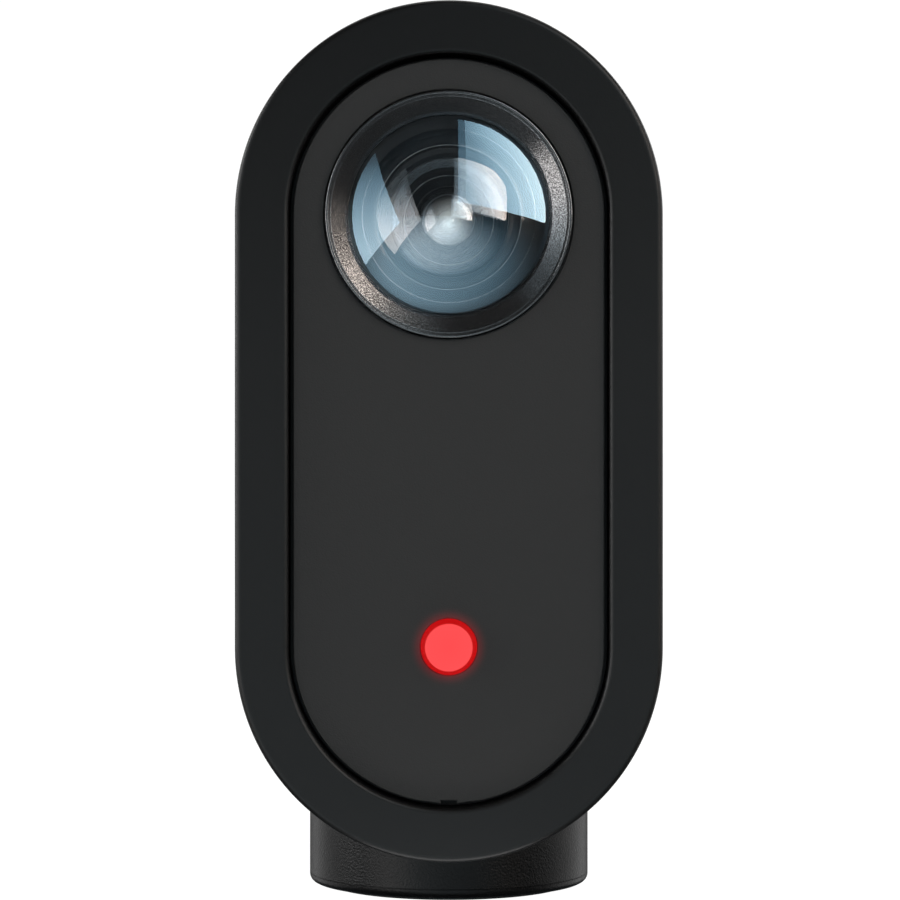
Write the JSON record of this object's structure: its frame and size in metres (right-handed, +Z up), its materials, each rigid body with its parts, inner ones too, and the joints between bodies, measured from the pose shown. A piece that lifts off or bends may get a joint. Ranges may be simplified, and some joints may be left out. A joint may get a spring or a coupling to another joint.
{
  "type": "action camera",
  "caption": "Small upright streaming camera with a slot-shaped body, a glass lens over a round red record light, and a round threaded foot under the middle.",
  "frame": {"origin": "bottom of the foot, under the middle of the body", "axes": "+Y from the lens face to the back, +X across the body to the right seen from the front, +Z up"},
  "size_m": [0.034, 0.087, 0.0762],
  "materials": {
    "housing_plastic": "fine satin texture",
    "panel_plastic": "fine grained matte",
    "base_plastic": "fine satin texture",
    "lens_ring_metal": "bead blasted, black anodised",
    "dome_glass": "polished, coated",
    "lens_glass": "polished, coated",
    "filter_glass": "polished",
    "barrel_black": "flat black anodised",
    "rubber_black": "matte",
    "foot_rubber": "textured matte",
    "light_red": "translucent, lit from inside",
    "light_pipe_clear": "clear",
    "cap_plastic": "satin",
    "chassis_plastic": "moulded",
    "screw_steel": "black zinc",
    "insert_steel": "machined",
    "circuit_board": "solder mask",
    "chip_black": "moulded",
    "shield_tin": "tin plated",
    "heat_sink_metal": "extruded",
    "thermal_pad_grey": "soft",
    "flex_amber": "polyimide film",
    "connector_white": "moulded",
    "battery_wrap": "shrink film",
    "wire_red": "soft insulation",
    "card_black": "moulded",
    "jack_black": "moulded",
    "port_steel": "drawn"
  },
  "bodies": {
    "camera": {"antennas": "flex_amber", "aperture_stop": "barrel_black", "audio_jack": "jack_black", "base_screws": "screw_steel", "battery_board": "circuit_board", "battery_cells": "battery_wrap", "battery_lead": "wire_red", "battery_tray": "chassis_plastic", "board_connectors": "connector_white", "board_screws": "screw_steel", "body_sleeve": "housing_plastic", "button_switches": "chip_black", "card_socket": "shield_tin", "chassis": "chassis_plastic", "flex_cables": "flex_amber", "foot_pad": "foot_rubber", "front_board": "circuit_board", "front_frame": "housing_plastic", "front_gasket": "rubber_black", "front_lens": "dome_glass", "front_plate": "panel_plastic", "front_screws": "screw_steel", "heat_sink": "heat_sink_metal", "image_sensor": "filter_glass", "indicator_leds": "connector_white", "ir_filter": "filter_glass", "lens_barrel": "barrel_black", "lens_module_screws": "screw_steel", "lens_mount": "barrel_black", "lens_retainers": "barrel_black", "lens_ring": "lens_ring_metal", "lens_seal": "rubber_black", "lens_spacers": "barrel_black", "light_baffle": "rubber_black", "main_board": "circuit_board", "memory_chips": "chip_black", "microphone_boots": "rubber_black", "microphones": "shield_tin", "processor": "chip_black", "radio_module": "shield_tin", "rear_frame": "housing_plastic", "rear_gasket": "rubber_black", "rear_lens": "lens_glass", "rear_plate": "panel_plastic", "rear_screws": "screw_steel", "record_light": "light_red", "second_lens": "lens_glass", "sensor_board": "circuit_board", "stand_base": "base_plastic", "status_light_pipes": "light_pipe_clear", "thermal_pad": "thermal_pad_grey", "third_lens": "lens_glass", "thread_insert": "insert_steel", "usb_port": "port_steel"},
    "power_button": {"power_button": "cap_plastic", "power_plunger": "chip_black"},
    "reset_button": {"reset_plunger": "chip_black"},
    "card": {"memory_card": "card_black"}
  },
  "joints": [
    {"name": "power_press", "type": "slide", "parent": "camera", "child": "power_button", "axis": [0, -1, 0], "range_m": [0, 0.0004], "stiffness_N_per_m": 1500},
    {"name": "reset_press", "type": "slide", "parent": "camera", "child": "reset_button", "axis": [0, -1, 0], "range_m": [0, 0.00025], "stiffness_N_per_m": 1500},
    {"name": "card_slide", "type": "slide", "parent": "camera", "child": "card", "axis": [0, 1, 0], "range_m": [-0.0007, 0.0155]}
  ]
}
